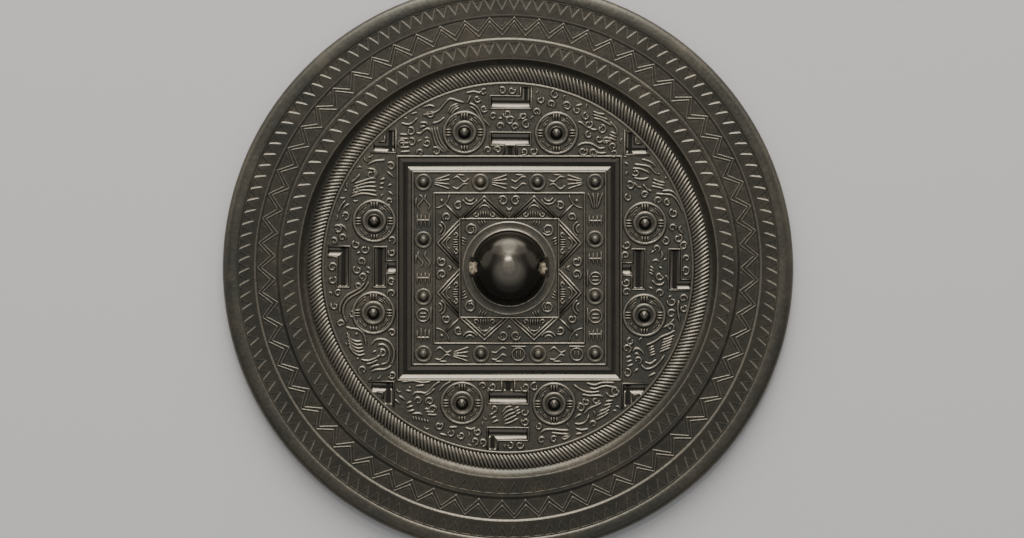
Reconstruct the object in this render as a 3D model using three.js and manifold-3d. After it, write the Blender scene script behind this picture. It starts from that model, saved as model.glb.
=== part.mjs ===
// An ancient cast-bronze mirror of the TLV kind. It lies on its polished face, with the decorated
// back up. Millimetres, +Z up. The origin is under the centre of the disc, on the surface it lies on.
// The mirror is one casting. Its solid is parted at the neck of the knob, as a caster would part it:
// one node is the disc, and the other is the domed knob that the cord runs through.
import * as THREE from "three";
import { mergeVertices } from "three/addons/utils/BufferGeometryUtils.js";
import Module from "manifold-3d";

const wasm = await Module();
wasm.setup();

// ---- Driving sizes -------------------------------------------------------------------------------

const discRadius = 93;
const discSides = 60;

const fieldTop = 3.2; // ground of the decorated field
const rimTop = 5.6; // flat top of the rim's sawtooth bands
const bandDrop = 0.4; // zigzag ground, and the gaps between teeth, below rimTop
const lipTop = 6; // plain lip round the edge
const lineHeight = 0.4; // raised lines over the ground they stand on
const sunk = 0.3; // how deep an added form is rooted in the metal under it

// Radii of the rings, from the edge inwards
const lipInner = 88.2;
const zigzagOuter = 82.1;
const zigzagInner = 75;
const ridgeInner = 74;
const rimCrest = 67.5;
const slopeFoot = 65.8;
const fieldRing = 60.3;

const outerTeeth = 138;
const innerTeeth = 110;
const zigzagPeriods = 63;

// The face is a low dome with a flat spot under the centre
const faceFlat = 30;
const faceRise = 1.2;

// The square, the knob and the marks were set a little off the disc's centre, and slightly turned
const patternX = 0.4;
const patternY = -0.1;
const fieldTurn = THREE.MathUtils.degToRad(-0.5);

// Square: a channel round the outside, then thin square lines
const channelOuter = 36;
const channelInner = 31.8;
const innerSquare = 24.4;
const knobSquare = 16.1;

// Bosses, two to a side of the square
const bossAlong = 15;
const bossOut = 44.2;
const bossRadius = 7;

// T, L and V marks
const markWidth = 3.4;
const markDepth = 0.7;
const markHalfBar = 6.3;

// Knob, and the cord's arched hole through it
const knobRadius = 11.9;
const knobHeight = 9;
const knobSides = 28;
const flangeRadius = 15.4;
const collarRadius = 12.8;
const ringTop = fieldTop + lineHeight; // the flat ring round the knob, which is the hole's floor too
const neckGap = 0.3; // from the flat ring up to the knob
const holeHalfWidth = 3.1;
const holeHeight = 5.7;
const holeShift = 0.4; // the hole runs a little to one side of the knob's middle

// ---- Solids: from three.js geometry to manifold-3d and back ----------------------------------------

function solid(geometry) {
  const bare = geometry.clone();
  bare.deleteAttribute("normal");
  bare.deleteAttribute("uv");
  const merged = mergeVertices(bare, 1e-4);
  const mesh = new wasm.Mesh({
    numProp: 3,
    vertProperties: merged.attributes.position.array,
    triVerts: new Uint32Array(merged.index.array),
  });
  return new wasm.Manifold(mesh);
}

function geometryOf(manifold) {
  const mesh = manifold.getMesh();
  const geometry = new THREE.BufferGeometry();
  geometry.setAttribute("position", new THREE.BufferAttribute(mesh.vertProperties, 3));
  geometry.setIndex(new THREE.BufferAttribute(mesh.triVerts, 1));
  geometry.computeVertexNormals();
  return geometry;
}

// A profile of [radius, height] pairs turned about the Z axis
function turned(profile, sides, startAngle = 0) {
  const points = profile.map(([radius, height]) => new THREE.Vector2(radius, height));
  return new THREE.LatheGeometry(points, sides, startAngle).rotateX(Math.PI / 2);
}

// A closed profile carried round a square: [half side, height] pairs
function squareRing(profile) {
  const corners = profile.map(([half, height]) => [half * Math.SQRT2, height]);
  return turned([...corners, corners[0]], 4, Math.PI / 4);
}

// Flat shapes carried up from one height to another
function raised(shapes, from, to) {
  const depth = to - from;
  return new THREE.ExtrudeGeometry(shapes, { depth, bevelEnabled: false }).translate(0, 0, from);
}

const polar = (radius, angle) =>
  new THREE.Vector2(radius * Math.cos(angle), radius * Math.sin(angle));

const circle = (radius, sides) =>
  Array.from({ length: sides }, (_, i) => polar(radius, (i * 2 * Math.PI) / sides));

const outline = (pairs) => new THREE.Shape(pairs.map(([x, y]) => new THREE.Vector2(x, y)));

// ---- Disc: convex face, rounded lip, stepped rim, inner slope and field ---------------------------

function faceHeight(radius) {
  const out = Math.max(0, radius - faceFlat) / (discRadius - faceFlat);
  return faceRise * out * out;
}

function disc() {
  const bandGround = rimTop - bandDrop;
  const fieldLine = fieldTop + lineHeight;
  return turned(
    [
      [0, 0],
      [faceFlat, 0],
      [62, faceHeight(62)],
      [91, faceHeight(91)],
      [discRadius, 2.3],
      [discRadius, 4.5],
      [91.2, lipTop - 0.2],
      [lipInner, lipTop],
      [lipInner, rimTop],
      [zigzagOuter, rimTop],
      [zigzagOuter, bandGround],
      [zigzagInner, bandGround],
      [zigzagInner, rimTop],
      [rimCrest, rimTop],
      [slopeFoot, fieldTop],
      [fieldRing + 0.4, fieldTop],
      [fieldRing, fieldLine],
      [fieldRing - 0.4, fieldTop],
      [0, fieldTop],
    ],
    discSides,
  );
}

// ---- Rim bands -------------------------------------------------------------------------------------

// The gaps between outward-pointing teeth, as one sunken ring with a saw-edged inner side
function toothGaps(count, gapRoot, toothTip, outer) {
  const sawEdge = [];
  for (let i = 0; i < count; i += 1) {
    const step = (2 * Math.PI) / count;
    sawEdge.push(polar(toothTip, i * step));
    sawEdge.push(polar(gapRoot, (i + 0.5) * step));
  }
  const ring = new THREE.Shape(circle(outer, discSides));
  ring.holes.push(new THREE.Path(sawEdge));
  return raised(ring, rimTop - bandDrop, rimTop + 1);
}

// The zigzag stands on its band as one raised strip
function zigzag(inner, outer, width) {
  const halfStep = Math.PI / zigzagPeriods;
  const edge = (shift) =>
    Array.from({ length: 2 * zigzagPeriods }, (_, i) =>
      polar((i % 2 ? outer : inner) + shift, i * halfStep),
    );
  const strip = new THREE.Shape(edge(width / 2));
  strip.holes.push(new THREE.Path(edge(-width / 2)));
  return raised(strip, rimTop - bandDrop - sunk, rimTop - 0.1);
}

// ---- Bosses and nipples ----------------------------------------------------------------------------

// A round raised line, as a boss has round its nipple
function roundLine(radius, width, sides) {
  const low = fieldTop - sunk;
  const high = fieldTop + lineHeight;
  return turned(
    [
      [radius - width / 2, low],
      [radius + width / 2, low],
      [radius + width / 2, high],
      [radius - width / 2, high],
      [radius - width / 2, low],
    ],
    sides,
  );
}

// A nipple in its own ring, with a hollow between them
function nipple(ringRadius, height, sides) {
  return turned(
    [
      [0, fieldTop - sunk],
      [ringRadius, fieldTop - sunk],
      [ringRadius, fieldTop + 0.8 * lineHeight],
      [ringRadius * 0.7, fieldTop + 0.3 * lineHeight],
      [ringRadius * 0.35, fieldTop + 0.8 * height],
      [0, fieldTop + height],
    ],
    sides,
  );
}

function bosses() {
  const made = [];
  for (let side = 0; side < 4; side += 1) {
    for (const along of [-bossAlong, bossAlong]) {
      for (const form of [roundLine(bossRadius - 0.3, 0.7, 14), nipple(4, 2.1, 10)]) {
        made.push(form.translate(along, bossOut, 0).rotateZ((side * Math.PI) / 2 + fieldTurn));
      }
    }
  }
  return made;
}

// Twelve small nipples stand in the band inside the channel, three to each side in turn
function bandNipples() {
  const made = [];
  const reach = 28;
  const pitch = 18.65;
  for (let side = 0; side < 4; side += 1) {
    for (let i = 0; i < 3; i += 1) {
      const form = nipple(2.8, 1.2, 8).translate(-reach + i * pitch, reach, 0);
      made.push(form.rotateZ((side * Math.PI) / 2));
    }
  }
  return made;
}

// ---- T, L and V marks, cut as channels, one of each to a side --------------------------------------

function markShapes() {
  const half = markWidth / 2;
  const [tFoot, tTop] = [36.9, 43.9];
  const t = outline([
    [-half, tFoot],
    [half, tFoot],
    [half, tTop - markWidth],
    [markHalfBar, tTop - markWidth],
    [markHalfBar, tTop],
    [-markHalfBar, tTop],
    [-markHalfBar, tTop - markWidth],
    [-half, tTop - markWidth],
  ]);
  const [lFoot, lEnd] = [52.2, 59.2];
  const l = outline([
    [-markHalfBar, lFoot],
    [markHalfBar, lFoot],
    [markHalfBar, lEnd],
    [markHalfBar - 3, lEnd],
    [markHalfBar - 3, lFoot + markWidth],
    [-markHalfBar, lFoot + markWidth],
  ]);
  const [vNear, vFar, vInside] = [37.5, 46, 43.3];
  const v = outline([
    [vNear, vNear],
    [vFar, vNear],
    [vInside, vNear + markWidth - 0.3],
    [vNear + markWidth - 0.3, vNear + markWidth - 0.3],
    [vNear + markWidth - 0.3, vInside],
    [vNear, vFar],
  ]);
  return [t, l, v];
}

function marks() {
  const made = [];
  for (let side = 0; side < 4; side += 1) {
    const cut = raised(markShapes(), fieldTop - markDepth, fieldTop + 1);
    made.push(cut.rotateZ((side * Math.PI) / 2 + fieldTurn));
  }
  return made;
}

// ---- Square: a sunken channel between thin lines, and the squares inside it -------------------------

function channel() {
  const middle = (channelOuter + channelInner) / 2;
  return squareRing([
    [channelInner, fieldTop + 1],
    [channelInner, fieldTop - 0.1],
    [channelInner + 0.9, fieldTop - 0.7],
    [middle, fieldTop - 0.9],
    [channelOuter - 0.9, fieldTop - 0.7],
    [channelOuter, fieldTop - 0.1],
    [channelOuter, fieldTop + 1],
  ]);
}

function squareLine(half, width) {
  const low = fieldTop - sunk;
  const high = fieldTop + lineHeight;
  return squareRing([
    [half - width / 2, low],
    [half + width / 2, low],
    [half + width / 2, high],
    [half - width / 2, high],
  ]);
}

// Two pointed gables stand on each side of the knob's square
function gables() {
  const made = [];
  const half = 7.7;
  const inner = half - 1.1;
  const gable = outline([
    [-half, 0],
    [-inner, 0],
    [0, inner],
    [inner, 0],
    [half, 0],
    [0, half],
  ]);
  for (let side = 0; side < 4; side += 1) {
    for (const along of [-8.1, 8.1]) {
      const form = raised(gable, fieldTop - sunk, fieldTop + 0.8 * lineHeight);
      made.push(form.translate(along, knobSquare, 0).rotateZ((side * Math.PI) / 2));
    }
  }
  return made;
}

// ---- Creatures: the main lines of the eight animals in the field ------------------------------------

const creatureLines = [
  // top left
  [[-27, 50], [-23.5, 50.4], [-21.3, 52.5], [-19, 55], [-14.5, 53.7], [-12, 54]],
  [[-29.3, 44.6], [-26.3, 45.4], [-24.7, 44.8], [-23, 40.5], [-20.4, 37.8]],
  // top right
  [[23.6, 40], [26.5, 40.7], [30, 38.9], [32.5, 39]],
  [[27.4, 51.2], [29.5, 50.2], [31, 48.6], [33.6, 46.2]],
  // right, upper
  [[40.6, 33.8], [44, 33.9], [46.5, 32.8], [49, 30.4]],
  [[46, 25.6], [48, 24.6], [53.5, 23.6], [55.3, 21.3], [55.6, 19]],
  // right, lower
  [[44.6, -25.6], [48, -24.3], [51.5, -22.5], [54.4, -20.6]],
  [[43.5, -31.6], [45.5, -33], [48, -32.4], [50.5, -30], [51.8, -27.2]],
  // bottom right
  [[26.5, -38.6], [28.5, -39.2], [31, -38.2], [33.5, -38.5]],
  [[22.8, -49.4], [25.8, -46.6], [28, -45], [31, -43.9]],
  // bottom left
  [[-31.2, -42], [-30, -40.5], [-26, -39.8], [-22.9, -38]],
  [[-34, -46.4], [-31.6, -47], [-29.4, -47.6], [-26.6, -49.4]],
  // left, lower
  [[-43.5, -24.5], [-41, -23.2], [-37.6, -27], [-38.8, -31.6], [-45, -33.5]],
  [[-46.3, -5.6], [-50.5, -8.8], [-53.4, -11], [-54.4, -15], [-52.4, -19.2]],
  // left, upper
  [[-50.6, 28], [-48.5, 30.8], [-46, 33.5], [-43, 35]],
  [[-52.4, 22.8], [-49, 24.2], [-45.6, 24.6], [-42.5, 24.2]],
];

// One line of a creature: a strip of even width along a smooth curve through its points
function strip(points, width) {
  const curve = new THREE.SplineCurve(points.map(([x, y]) => new THREE.Vector2(x, y)));
  const steps = Math.round(curve.getLength() / 3);
  const right = [];
  const left = [];
  for (let i = 0; i <= steps; i += 1) {
    const middle = curve.getPointAt(i / steps);
    const tangent = curve.getTangentAt(i / steps);
    const aside = new THREE.Vector2(tangent.y, -tangent.x).multiplyScalar(width / 2);
    right.push(middle.clone().add(aside));
    left.push(middle.clone().sub(aside));
  }
  return new THREE.Shape([...right, ...left.reverse()]);
}

function creatures() {
  return creatureLines.map((points) =>
    raised(strip(points, 0.9), fieldTop - sunk, fieldTop + lineHeight),
  );
}

// ---- Knob: a flat ring on the disc, and on it the collar and dome with the cord's arched hole -------

function flatRing() {
  return turned(
    [
      [0, fieldTop - sunk],
      [flangeRadius, fieldTop - sunk],
      [flangeRadius, ringTop],
      [0, ringTop],
    ],
    knobSides,
  );
}

function domedKnob() {
  const neck = ringTop + neckGap;
  const collarTop = fieldTop + 0.9;
  const domeHeight = fieldTop + knobHeight - collarTop;
  const dome = [];
  const rings = 6;
  for (let i = 0; i < rings; i += 1) {
    const angle = (i / rings) * (Math.PI / 2);
    dome.push([knobRadius * Math.cos(angle), collarTop + domeHeight * Math.sin(angle)]);
  }
  return turned(
    [
      [0, neck],
      [collarRadius, neck],
      [collarRadius, collarTop],
      ...dome,
      [0, fieldTop + knobHeight],
    ],
    knobSides,
  );
}

// The hole's floor is the flat ring round the knob, and its roof is a half circle
function cordHole() {
  const springing = ringTop + holeHeight - holeHalfWidth;
  const arch = new THREE.Shape();
  arch.moveTo(-holeHalfWidth, ringTop);
  arch.lineTo(holeHalfWidth, ringTop);
  arch.lineTo(holeHalfWidth, springing);
  arch.absarc(0, springing, holeHalfWidth, 0, Math.PI, false);
  const depth = 2 * (flangeRadius - 1);
  return new THREE.ExtrudeGeometry(arch, { depth, bevelEnabled: false, curveSegments: 8 })
    .translate(0, 0, -depth / 2)
    .rotateX(Math.PI / 2)
    .rotateZ(Math.PI / 2)
    .translate(0, holeShift, 0);
}

// ---- The casting -------------------------------------------------------------------------------------

const centred = (geometry) => solid(geometry.translate(patternX, patternY, 0));

function discSolid() {
  let body = solid(disc());
  body = body.subtract(solid(toothGaps(outerTeeth, 83.9, 87.7, 87.9)));
  body = body.subtract(solid(toothGaps(innerTeeth, 69.6, 73.4, ridgeInner - 0.4)));
  body = body.add(solid(zigzag(76.6, 80.6, 1.9)));
  for (const line of creatures()) body = body.add(solid(line));
  for (const cut of [...marks(), channel()]) body = body.subtract(centred(cut));
  const added = [
    ...bosses(),
    ...bandNipples(),
    squareLine(channelOuter + 0.1, 0.6),
    squareLine(channelInner - 0.1, 0.6),
    squareLine(innerSquare, 0.6),
    squareLine(knobSquare, 0.6),
    ...gables(),
    flatRing(),
  ];
  for (const form of added) body = body.add(centred(form));
  return body;
}

const knobSolid = () => centred(domedKnob()).subtract(centred(cordHole()));

const bronze = new THREE.MeshStandardMaterial({ color: 0x4a463c, roughness: 0.38, metalness: 0.9 });

const mirror = new THREE.Mesh(geometryOf(discSolid()), bronze);
mirror.name = "mirror";

const knob = new THREE.Mesh(geometryOf(knobSolid()), bronze.clone());
knob.name = "knob";

const part = new THREE.Group();
part.add(mirror, knob);

export default part;
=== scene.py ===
import math
import random

import bpy
import numpy as np
from mathutils import Matrix, Vector


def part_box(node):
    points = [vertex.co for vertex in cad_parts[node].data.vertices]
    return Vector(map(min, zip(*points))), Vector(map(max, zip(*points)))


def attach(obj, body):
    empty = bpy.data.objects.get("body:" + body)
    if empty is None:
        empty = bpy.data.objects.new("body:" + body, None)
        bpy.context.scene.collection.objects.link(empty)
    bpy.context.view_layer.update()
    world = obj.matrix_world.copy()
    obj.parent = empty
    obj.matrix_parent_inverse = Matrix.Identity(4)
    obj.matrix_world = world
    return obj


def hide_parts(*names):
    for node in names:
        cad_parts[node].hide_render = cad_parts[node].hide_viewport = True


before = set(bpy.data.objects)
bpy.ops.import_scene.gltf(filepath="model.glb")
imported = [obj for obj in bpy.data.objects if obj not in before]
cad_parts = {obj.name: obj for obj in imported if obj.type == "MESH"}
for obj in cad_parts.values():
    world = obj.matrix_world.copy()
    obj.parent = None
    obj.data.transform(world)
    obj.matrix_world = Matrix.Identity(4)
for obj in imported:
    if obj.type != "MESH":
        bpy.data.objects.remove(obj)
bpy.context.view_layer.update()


# ---- Studio --------------------------------------
# A plain pale table that the mirror lies on, and soft light. Broad panels stand beyond the mirror's
# upper side and rake over the relief. A small lamp, two side lamps and a faint ceiling fill help them.

mirror_low, mirror_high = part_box("mirror")
middle = (mirror_low + mirror_high) / 2
rim_height = mirror_low.z + 0.0058


def plain_material(name, colour, roughness):
    material = bpy.data.materials.new(name)
    material.use_nodes = True
    shader = material.node_tree.nodes["Principled BSDF"]
    shader.inputs["Base Color"].default_value = (*colour, 1)
    shader.inputs["Roughness"].default_value = roughness
    return material


table_gap = 0.0001
bpy.ops.mesh.primitive_plane_add(size=6, location=(middle.x, middle.y, mirror_low.z - table_gap))
table = bpy.context.object
table.name = "table"
table.data.materials.append(plain_material("pale_table", (0.62, 0.61, 0.60), 0.7))

camera_reach = 0.925  # from the rim straight up to the camera
bpy.ops.object.camera_add(location=(middle.x + 0.0013, middle.y - 0.00033, rim_height + camera_reach))
camera = bpy.context.object
camera.data.lens = 100
camera.data.sensor_width = 36
camera.data.clip_start = 0.01
bpy.context.scene.camera = camera


def lamp(name, place, size, power, colour):
    bpy.ops.object.light_add(type="AREA", location=middle + Vector(place))
    light = bpy.context.object
    light.name = name
    light.data.shape = "ELLIPSE"
    light.data.size, light.data.size_y = size
    light.data.energy = power
    light.data.color = colour
    light.rotation_euler = (-Vector(place)).to_track_quat("-Z", "Y").to_euler()


warm, neutral, cool = (1.0, 0.97, 0.93), (1.0, 0.98, 0.96), (0.95, 0.97, 1.0)
lamp("highlight_lamp", (-0.08, 0.86, 1.95), (0.48, 0.34), 5.2, warm)
lamp("wide_panel", (0.0, 1.85, 1.2), (3.8, 2.0), 31, warm)
lamp("strip_panel", (0.0, 1.83, 1.17), (1.2, 1.8), 24, warm)
lamp("low_panel", (0.0, 2.1, 0.5), (2.8, 1.0), 28, warm)
lamp("left_lamp", (-1.9, 0.8, 0.95), (1.6, 1.4), 6, neutral)
lamp("right_lamp", (1.9, 0.8, 0.95), (1.6, 1.4), 5, neutral)
lamp("ceiling_lamp", (0.0, -0.9, 2.5), (4.4, 4.8), 16, cool)

world = bpy.context.scene.world or bpy.data.worlds.new("studio")
bpy.context.scene.world = world
world.use_nodes = True
backdrop = world.node_tree.nodes["Background"].inputs
backdrop["Color"].default_value = (*cool, 1)
backdrop["Strength"].default_value = 0.15


# ---- Disc ----------------------------------------
# The casting's body: a low convex face, a rounded lip, the stepped rim and the slope down to the
# sunk field. A strickle board gave the mould this shape, so it is one profile turned round.
# Sizes from here on are millimetres, and the finished casting is brought to metres.

ground = 3.2  # top of the field
band = 5.6  # top of the sawtooth bands
band_floor = 5.2  # floor of the zigzag band and of the gaps between teeth
face_flat = 30  # radius of the flat spot under the centre
face_rise = 1.2  # how far the polished face lifts from there to the edge
to_mm = 1000
edge_radius = (mirror_high.x - mirror_low.x) * to_mm / 2
disc_steps = 276

casting = []  # everything that is fused into the one casting at the end


def set_point_values(piece, values, name="wear_and_shade"):
    """A value at each point: wear goes from 0 in hollows to 1 on crests, and polish is 0 or 1.
    Low wear darkens hollows and the feet of lines and steps, as dirt and as painted shade.
    """
    layer = piece.data.attributes.new(name, "FLOAT", "POINT")
    layer.data.foreach_set("value", np.asarray(values, dtype=np.float32))


def loose_piece(name, points, edges, faces):
    mesh = bpy.data.meshes.new(name)
    mesh.from_pydata([tuple(p) for p in points], edges, faces)
    piece = bpy.data.objects.new(name, mesh)
    bpy.context.scene.collection.objects.link(piece)
    return piece


def new_piece(name, points, faces, wear_and_shade):
    piece = loose_piece(name, points, [], faces)
    set_point_values(piece, wear_and_shade)
    casting.append(piece)
    return piece


def pick(piece):
    bpy.ops.object.select_all(action="DESELECT")
    bpy.context.view_layer.objects.active = piece
    piece.select_set(True)


def smooth_below(degrees):
    bpy.ops.object.shade_smooth_by_angle(angle=math.radians(degrees))


def edit(piece):
    pick(piece)
    bpy.ops.object.mode_set(mode="EDIT")
    bpy.ops.mesh.select_all(action="SELECT")


def turn(name, profile, steps, at=(0, 0), sharp=30):
    """A profile of (radius, height, wear) spun about an upright axis into a closed shell; low wear also
    paints shade.
    """
    line = [(radius, 0, height) for radius, height, _ in profile]
    piece = loose_piece(name, line, [(i, i + 1) for i in range(len(line) - 1)], [])
    edit(piece)
    bpy.ops.mesh.spin(steps=steps, angle=2 * math.pi, center=(0, 0, 0), axis=(0, 0, 1))
    bpy.ops.mesh.select_all(action="SELECT")
    bpy.ops.mesh.remove_doubles(threshold=0.001)
    bpy.ops.mesh.normals_make_consistent(inside=False)
    bpy.ops.object.mode_set(mode="OBJECT")
    known = np.array([(r, h) for r, h, _ in profile])
    worn = np.array([w for _, _, w in profile])
    spun = np.array([v.co for v in piece.data.vertices])
    flat = np.stack([np.hypot(spun[:, 0], spun[:, 1]), spun[:, 2]], axis=1)
    nearest = np.argmin(((flat[:, None] - known[None]) ** 2).sum(axis=2), axis=1)
    set_point_values(piece, worn[nearest])
    smooth_below(sharp)
    piece.data.transform(Matrix.Translation((*at, 0)))
    casting.append(piece)
    return piece


def face_height(radius):
    out = max(0, radius - face_flat) / (edge_radius - face_flat)
    return face_rise * out * out


# The third number of each point is its wear. The zeros at the feet of the steps and of the slope darken
# them as dirt and as painted shade.
face = [(r, face_height(r), 0.5) for r in (0.0, face_flat, 40, 50, 60, 70, 78, 85, 90)]
edge = [
    (edge_radius - 1.2, 1.25, 0.5), (edge_radius - 0.4, 1.7, 0.5), (edge_radius, 2.6, 0.5),
    (edge_radius, 3.6, 0.4), (edge_radius - 0.2, 4.5, 0.4), (edge_radius - 0.6, 5.15, 0.4),
    (edge_radius - 1.2, 5.6, 0.45), (edge_radius - 2.0, 5.88, 0.35), (edge_radius - 2.9, 6.0, 0.2),
    (edge_radius - 4.2, 5.98, 0.2), (edge_radius - 4.6, 5.9, 0.5), (edge_radius - 4.85, 5.75, 0.5),
    (edge_radius - 5.0, band - 0.03, 0.2), (edge_radius - 5.05, band - 0.5, 0.0),
]
rim = [
    (82.85, band - 0.5, 0.0), (82.75, band - 0.01, 0.3), (82.4, band - 0.03, 0.9),
    (82.15, band - 0.13, 0.8), (81.95, band_floor + 0.08, 0.4), (81.8, band_floor, 0.0),
    (81.5, band_floor, 0.11), (75.45, band_floor, 0.11), (75.1, band_floor, 0.0),
    (74.95, band_floor + 0.02, 0.0), (74.78, band_floor + 0.14, 0.3),
    (74.6, band_floor + 0.27, 0.4), (74.42, band_floor + 0.38, 0.4), (74.2, band, 0.2),
    (73.98, band - 0.03, 0.1), (73.9, band - 0.5, 0.0), (69.3, band - 0.5, 0.0),
    (69.2, band - 0.01, 0.1), (68.6, band, 0.1), (68.25, 5.56, 0.7),
]
slope = []
slope_steps = 9
slope_top, slope_run, slope_rise, slope_bend = 68.0, 2.5, 2.3, 1.7
for i in range(slope_steps + 1):
    share = i / slope_steps
    height = ground + slope_rise * (1 - share) ** slope_bend
    slope.append((slope_top - slope_run * share, height, 0.5 - 0.3 * share))
field = [
    (60.85, ground, 0.0), (60.65, ground + 0.3, 0.5), (60.4, ground + 0.43, 0.8),
    (60.1, ground + 0.43, 0.8), (59.9, ground + 0.3, 0.5), (59.7, ground - 0.6, 0.0),
    (59.0, 2.1, 0.0), (0.0, 2.1, 0.0),
]
turn("disc", face + edge + rim + slope + field, disc_steps)


# ---- Field with its channels ---------------------
# The field is level bronze with sunk channels, straight at the flanks and rounded at the bottom: a
# square, and a T, an L and a V to each side of it. The mould maker set them a little off centre.

pattern = Vector((0.4, -0.1))
field_turn = math.radians(-0.5)
channel_out = 36.1  # half sides of the square channel
channel_in = 31.8
square_depth = 0.8
trough_depth = 0.72
channel_lip = 0.05  # the sharp edge along every channel
channel_steps = 14
channel_bottom = 0.4  # share of a channel that its rounded bottom takes


def side_matrix(side):
    """Turns what is made on the upper side of the square to another side of it."""
    return Matrix.Translation((*pattern, 0)) @ Matrix.Rotation(side * math.pi / 2 + field_turn, 4, "Z")


def hollow_depth(share, depth):
    """Depth of a channel at a share of its half width: straight flanks and a rounded bottom."""
    share = abs(share)
    sunk = share * share / (2 * channel_bottom) if share < channel_bottom else share - channel_bottom / 2
    return depth * (1 - sunk / (1 - channel_bottom / 2))


def cutter_through(name, sections, closed=False):
    """A solid through outlines of as many points, with end caps unless it closes on itself."""
    count = len(sections[0])
    points = [point for section in sections for point in section]
    faces = []
    for k in range(len(sections) - (0 if closed else 1)):
        a, b = count * k, count * ((k + 1) % len(sections))
        for i in range(count):
            j = (i + 1) % count
            faces.append((a + i, a + j, b + j, b + i))
    if not closed:
        faces += [tuple(range(count))[::-1], tuple(range(len(points) - count, len(points)))]
    solid = loose_piece(name, points, [], faces)
    edit(solid)
    bpy.ops.mesh.normals_make_consistent(inside=False)
    bpy.ops.object.mode_set(mode="OBJECT")
    return solid


def trough(start, end, width):
    """The outlines that a channel is cut with, from one point to another."""
    start, end = Vector(start), Vector(end)
    along = (end - start).normalized()
    aside = Vector((-along.y, along.x))
    end_slope = 0.5  # length of the ramp at each end
    stations = ((start, 0.1), (start + along * end_slope, 1), (end - along * end_slope, 1), (end, 0.1))
    sections = []
    for centre, full in stations:
        points = [(*(centre + aside * width / 2), ground + 1)]
        for i in range(channel_steps + 1):
            share = 1 - 2 * i / channel_steps
            offset = aside * (share * width / 2)
            sunk = channel_lip + full * hollow_depth(share, trough_depth)
            points.append((*(centre + offset), ground - sunk))
        points.append((*(centre - aside * width / 2), ground + 1))
        sections.append(points)
    return sections


mark_cuts = [
    ((-6.3, 42.15), (6.3, 42.15), 3.9),  # T: bar
    ((0, 36.5), (0, 39.9), 3.8),  # T: stem
    ((-6.5, 54.1), (6.5, 54.1), 3.8),  # L: bar
    ((4.95, 54.1), (4.95, 59.2), 3.1),  # L: foot
    ((39.1, 37.5), (39.1, 44.7), 3.3),  # V: one arm
    ((37.5, 39.1), (44.7, 39.1), 3.3),  # V: other arm
]

plate_depth = 1.2
bpy.ops.mesh.primitive_cylinder_add(
    vertices=disc_steps, radius=60.2, depth=plate_depth, location=(0, 0, ground - plate_depth / 2)
)
plate = bpy.context.object
plate.name = "field"
bpy.ops.object.transform_apply(location=True, rotation=True, scale=True)


def cut_away(piece, cutter):
    bpy.context.view_layer.objects.active = piece
    cut = piece.modifiers.new("cut", "BOOLEAN")
    cut.operation = "DIFFERENCE"
    cut.solver = "MANIFOLD"
    cut.object = cutter
    bpy.ops.object.modifier_apply(modifier=cut.name)
    bpy.data.objects.remove(cutter)


for side in range(4):
    for start, end, width in mark_cuts:
        cutter = cutter_through("trough", trough(start, end, width))
        cutter.data.transform(side_matrix(side))
        cut_away(plate, cutter)

square_profile = []
square_half_width = (channel_out - channel_in) / 2
for i in range(channel_steps + 1):
    share = 2 * i / channel_steps - 1
    half = (channel_out + channel_in) / 2 + share * square_half_width
    sunk = channel_lip + hollow_depth(share, square_depth)
    square_profile.append((half, ground - sunk))
square_profile = [(channel_in, ground + 1), *square_profile, (channel_out, ground + 1)]
corners = ((1, 1), (-1, 1), (-1, -1), (1, -1))
sections = [[(x * half, y * half, height) for x, y in corners] for half, height in square_profile]
square_cutter = cutter_through("square_channel", sections, closed=True)
square_cutter.data.transform(Matrix.Translation((*pattern, 0)))
cut_away(plate, square_cutter)
pick(plate)
smooth_below(30)
flank_end = 0.65  # depth at which a channel's rubbed flanks pass into its dull bottom
sunk = [ground - v.co.z for v in plate.data.vertices]
set_point_values(plate, [0.2 if s < 0.5 * channel_lip else 0.85 if s < flank_end else 0.3 for s in sunk])
set_point_values(plate, [float(v.co.z < ground - 0.5 * channel_lip) for v in plate.data.vertices], "polish")
casting.append(plate)


# ---- Raised lines --------------------------------
# Every fine line of the back was scratched into the mould with a point, so it stands up on the
# bronze as a thin ridge with a rounded crest, and runs out at its ends.

lines = {"points": [], "faces": [], "wear_and_shade": []}


def ease_corners(path, closed, near):
    """Extra points close to each sharp corner, so that straight runs are shaded as straight."""
    count = len(path)
    eased = []
    for i, spot in enumerate(path):
        into, out = spot - path[i - 1], path[(i + 1) % count] - spot
        into, out = into / np.linalg.norm(into), out / np.linalg.norm(out)
        if into @ out > 0.8 or (not closed and i in (0, count - 1)):
            eased.append(spot)
        else:
            eased += [spot - into * near, spot, spot + out * near]
    return np.array(eased)


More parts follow.
